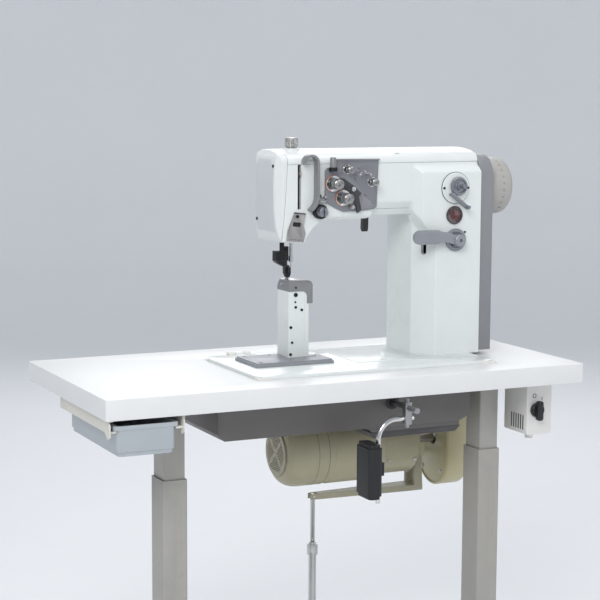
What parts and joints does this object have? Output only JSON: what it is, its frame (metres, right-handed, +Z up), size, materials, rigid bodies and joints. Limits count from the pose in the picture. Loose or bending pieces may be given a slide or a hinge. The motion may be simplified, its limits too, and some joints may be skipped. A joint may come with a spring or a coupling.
{
  "type": "post-bed industrial sewing machine",
  "caption": "Post-bed sewing machine with roller foot on a height-adjustable table with clutch motor, knee lever, treadle and drawer.",
  "frame": {"origin": "on the floor, under the middle of the machine", "axes": "+X to the handwheel, +Y away from the operator, +Z up"},
  "size_m": [1.06, 0.57, 1.272],
  "materials": {
    "stand_paint": "semi-gloss powder coat, warm grey",
    "pad_rubber": "matt black rubber",
    "treadle_iron": "black painted casting with ribs",
    "table_laminate": "white laminate with a white edge band",
    "pan_grey": "pressed sheet, grey paint",
    "motor_beige": "fine hammered beige paint",
    "grille_beige": "drilled sheet, beige paint",
    "cover_beige": "yellowish moulded plastic",
    "bracket_grey": "brushed-on paint over steel",
    "runner_white": "off-white painted strip",
    "switch_white": "off-white moulded plastic",
    "bed_pads": "beige moulded rubber",
    "belt_rubber": "moulded V-belt",
    "pulley_steel": "turned steel",
    "lever_beige": "painted sheet steel",
    "rod_zinc": "zinc-plated rod",
    "drawer_grey": "pale blue-grey moulded plastic",
    "knob_black": "black plastic",
    "knee_steel": "plated clamp and shaft",
    "knee_chrome": "chrome-plated rod",
    "pad_black": "black moulded rubber",
    "head_white": "smooth semi-gloss enamel, slightly green white",
    "cover_white": "white moulded cover",
    "face_white": "white moulded cover with a tinted panel",
    "guard_grey": "mid-grey moulded plastic",
    "plate_grey": "satin grey plate",
    "cap_grey": "satin grey cap",
    "plate_steel": "polished steel plate",
    "tension_grey": "satin grey plate",
    "disc_steel": "polished discs",
    "guide_steel": "plated guides",
    "shield_steel": "satin steel strip",
    "sight_glass": "dark red window",
    "screw_black": "black oxide screws",
    "wheel_grey": "light warm grey moulded plastic",
    "shaft_steel": "ground steel",
    "needle_steel": "hardened polished steel",
    "foot_black": "black oxide",
    "takeup_steel": "polished lever",
    "knob_nickel": "nickel-plated, knurled",
    "dial_grey": "satin aluminium",
    "lever_black": "black plastic"
  },
  "bodies": {
    "stand": {"stand_feet": "stand_paint", "foot_pads": "pad_rubber", "lower_leg_tubes": "stand_paint", "stand_crossbar": "stand_paint"},
    "treadle": {"treadle_plate": "treadle_iron"},
    "table": {"table_top": "table_laminate", "upper_leg_tubes": "stand_paint", "oil_pan": "pan_grey", "motor_housing": "motor_beige", "motor_fan_cover": "grille_beige", "belt_cover": "cover_beige", "motor_bracket": "bracket_grey", "drawer_runners": "runner_white", "switch_box": "switch_white", "bed_supports": "bed_pads", "drive_belt": "belt_rubber"},
    "motor_rotor": {"motor_pulley": "pulley_steel"},
    "clutch_arm": {"clutch_lever": "lever_beige"},
    "pitman_upper": {"pitman_rod": "rod_zinc"},
    "pitman_lower": {"pitman_tube": "rod_zinc"},
    "drawer": {"drawer_tray": "drawer_grey"},
    "switch": {"switch_knob": "knob_black"},
    "knee_lever": {"knee_shaft": "knee_steel", "knee_rod": "knee_chrome", "knee_pad": "pad_black"},
    "head": {"bed_plate": "head_white", "arm_casting": "head_white", "arm_top_cover": "cover_white", "face_plate": "face_white", "belt_guard": "guard_grey", "post_base_plate": "plate_grey", "post_casting": "head_white", "post_cap": "cap_grey", "needle_plate": "plate_steel", "tension_plate": "tension_grey", "tension_discs": "disc_steel", "thread_guides": "guide_steel", "thread_guards": "shield_steel", "sight_glass": "sight_glass", "head_screws": "screw_black"},
    "main_shaft": {"handwheel": "wheel_grey", "arm_shaft": "shaft_steel"},
    "under_shaft": {"lower_shaft": "shaft_steel"},
    "hook": {"rotary_hook": "needle_steel"},
    "feed": {"feed_wheel": "plate_steel"},
    "needle": {"needle_bar": "needle_steel"},
    "presser": {"presser_bar": "foot_black"},
    "roller": {"roller_foot": "foot_black"},
    "takeup": {"takeup_lever": "takeup_steel"},
    "upper_tension": {"upper_tension_knob": "knob_nickel"},
    "lower_tension": {"lower_tension_knob": "knob_nickel"},
    "left_pretension": {"left_pretension_knob": "knob_nickel"},
    "right_pretension": {"right_pretension_knob": "knob_nickel"},
    "check_spring": {"check_spring_dial": "dial_grey"},
    "pressure_adjuster": {"pressure_knob": "knob_nickel"},
    "winder": {"winder_spindle": "dial_grey"},
    "winder_arm": {"winder_lever": "dial_grey"},
    "reverse": {"reverse_lever": "plate_grey"},
    "dial": {"stitch_dial": "dial_grey"},
    "lifter": {"lift_lever": "lever_black"}
  },
  "joints": [
    {"name": "height_adjust", "type": "slide", "parent": "stand", "child": "table", "axis": [0, 0, 1], "range_m": [-0.06, 0.12]},
    {"name": "treadle_tilt", "type": "hinge", "parent": "stand", "child": "treadle", "pos_m": [0, 0, 0.095], "axis": [1, 0, 0], "range_deg": [-9, 9], "stiffness_Nm_per_rad": 60},
    {"name": "head_tilt", "type": "hinge", "parent": "table", "child": "head", "pos_m": [0, 0.126, 0.802], "axis": [-1, 0, 0], "range_deg": [0, 45], "deforming": ["drive_belt"]},
    {"name": "motor_spin", "type": "hinge", "parent": "table", "child": "motor_rotor", "pos_m": [0.4, 0.1, 0.588], "axis": [1, 0, 0], "continuous": true},
    {"name": "clutch_swing", "type": "hinge", "parent": "table", "child": "clutch_arm", "pos_m": [0.314, 0.1, 0.573], "axis": [0, 1, 0], "range_deg": [-4.5, 4.5]},
    {"name": "pitman_swing", "type": "hinge", "parent": "clutch_arm", "child": "pitman_upper", "pos_m": [0.065, 0.1, 0.483], "axis": [0, 1, 0], "range_deg": [-6, 6]},
    {"name": "pitman_length", "type": "slide", "parent": "pitman_upper", "child": "pitman_lower", "axis": [0, 0, -1], "range_m": [-0.06, 0.12]},
    {"name": "drawer_slide", "type": "slide", "parent": "table", "child": "drawer", "axis": [0, -1, 0], "range_m": [0, 0.25]},
    {"name": "switch_turn", "type": "hinge", "parent": "table", "child": "switch", "pos_m": [0.459, -0.178, 0.694], "axis": [0, 1, 0], "range_deg": [0, 90]},
    {"name": "knee_swing", "type": "hinge", "parent": "table", "child": "knee_lever", "pos_m": [0.132, -0.202, 0.728], "axis": [0, -1, 0], "range_deg": [0, 22], "stiffness_Nm_per_rad": 4, "springref_deg": -20.05},
    {"name": "shaft_spin", "type": "hinge", "parent": "head", "child": "main_shaft", "pos_m": [0.44, 0.022, 1.162], "axis": [1, 0, 0], "continuous": true},
    {"name": "lower_shaft_spin", "type": "hinge", "parent": "head", "child": "under_shaft", "pos_m": [0.1, 0.02, 0.744], "axis": [1, 0, 0], "continuous": true},
    {"name": "hook_spin", "type": "hinge", "parent": "head", "child": "hook", "pos_m": [-0.0155, 0.02, 0.9], "axis": [0, 0, 1], "continuous": true},
    {"name": "feed_spin", "type": "hinge", "parent": "head", "child": "feed", "pos_m": [-0.036, 0.022, 0.966], "axis": [1, 0, 0], "continuous": true},
    {"name": "needle_stroke", "type": "slide", "parent": "head", "child": "needle", "axis": [0, 0, 1], "range_m": [-0.03, 0]},
    {"name": "presser_lift", "type": "slide", "parent": "head", "child": "presser", "axis": [0, 0, 1], "range_m": [0, 0.01]},
    {"name": "roller_spin", "type": "hinge", "parent": "presser", "child": "roller", "pos_m": [-0.036, 0.022, 0.9924], "axis": [1, 0, 0], "continuous": true},
    {"name": "takeup_swing", "type": "hinge", "parent": "head", "child": "takeup", "pos_m": [-0.037, 0.045, 1.172], "axis": [-1, 0, 0], "range_deg": [-44, 2]},
    {"name": "upper_tension_turn", "type": "hinge", "parent": "head", "child": "upper_tension", "pos_m": [0.037, -0.06, 1.178], "axis": [0, -1, 0], "range_deg": [-180, 180]},
    {"name": "lower_tension_turn", "type": "hinge", "parent": "head", "child": "lower_tension", "pos_m": [0.06, -0.06, 1.148], "axis": [0, -1, 0], "range_deg": [-180, 180]},
    {"name": "left_pretension_turn", "type": "hinge", "parent": "head", "child": "left_pretension", "pos_m": [0.07, -0.06, 1.207], "axis": [0, -1, 0], "range_deg": [-180, 180]},
    {"name": "right_pretension_turn", "type": "hinge", "parent": "head", "child": "right_pretension", "pos_m": [0.127, -0.06, 1.18], "axis": [0, -1, 0], "range_deg": [-180, 180]},
    {"name": "check_spring_turn", "type": "hinge", "parent": "head", "child": "check_spring", "pos_m": [0.007, -0.05, 1.121], "axis": [0, -1, 0], "range_deg": [-60, 60]},
    {"name": "pressure_turn", "type": "hinge", "parent": "head", "child": "pressure_adjuster", "pos_m": [-0.027, 0.022, 1.26], "axis": [0, 0, 1], "range_deg": [-180, 180]},
    {"name": "winder_spin", "type": "hinge", "parent": "head", "child": "winder", "pos_m": [0.327, -0.066, 1.168], "axis": [0, -1, 0], "continuous": true},
    {"name": "winder_lever_swing", "type": "hinge", "parent": "head", "child": "winder_arm", "pos_m": [0.308, -0.07, 1.15], "axis": [0, 1, 0], "range_deg": [-12, 20]},
    {"name": "reverse_press", "type": "hinge", "parent": "head", "child": "reverse", "pos_m": [0.323, -0.075, 1.053], "axis": [0, -1, 0], "range_deg": [0, 20], "stiffness_Nm_per_rad": 2, "springref_deg": -11.46},
    {"name": "dial_turn", "type": "hinge", "parent": "head", "child": "dial", "pos_m": [0.323, -0.062, 1.053], "axis": [0, -1, 0], "range_deg": [-150, 150]},
    {"name": "lift_turn", "type": "hinge", "parent": "head", "child": "lifter", "pos_m": [0.148, 0.024, 1.115], "axis": [1, 0, 0], "range_deg": [-8, 40]}
  ],
  "couplings": [
    {"joint": "clutch_swing", "follows": "treadle_tilt", "ratio": 0.4016},
    {"joint": "pitman_swing", "follows": "treadle_tilt", "ratio": -0.5014},
    {"joint": "pitman_length", "follows": "height_adjust", "ratio": 1},
    {"joint": "motor_spin", "follows": "shaft_spin", "ratio": 1.44},
    {"joint": "lower_shaft_spin", "follows": "shaft_spin", "ratio": 1},
    {"joint": "hook_spin", "follows": "shaft_spin", "ratio": 2},
    {"joint": "roller_spin", "follows": "feed_spin", "ratio": -0.8571},
    {"joint": "takeup_swing", "follows": "needle_stroke", "rad_per_m": 25},
    {"joint": "presser_lift", "follows": "knee_swing", "m_per_rad": 0.024}
  ]
}
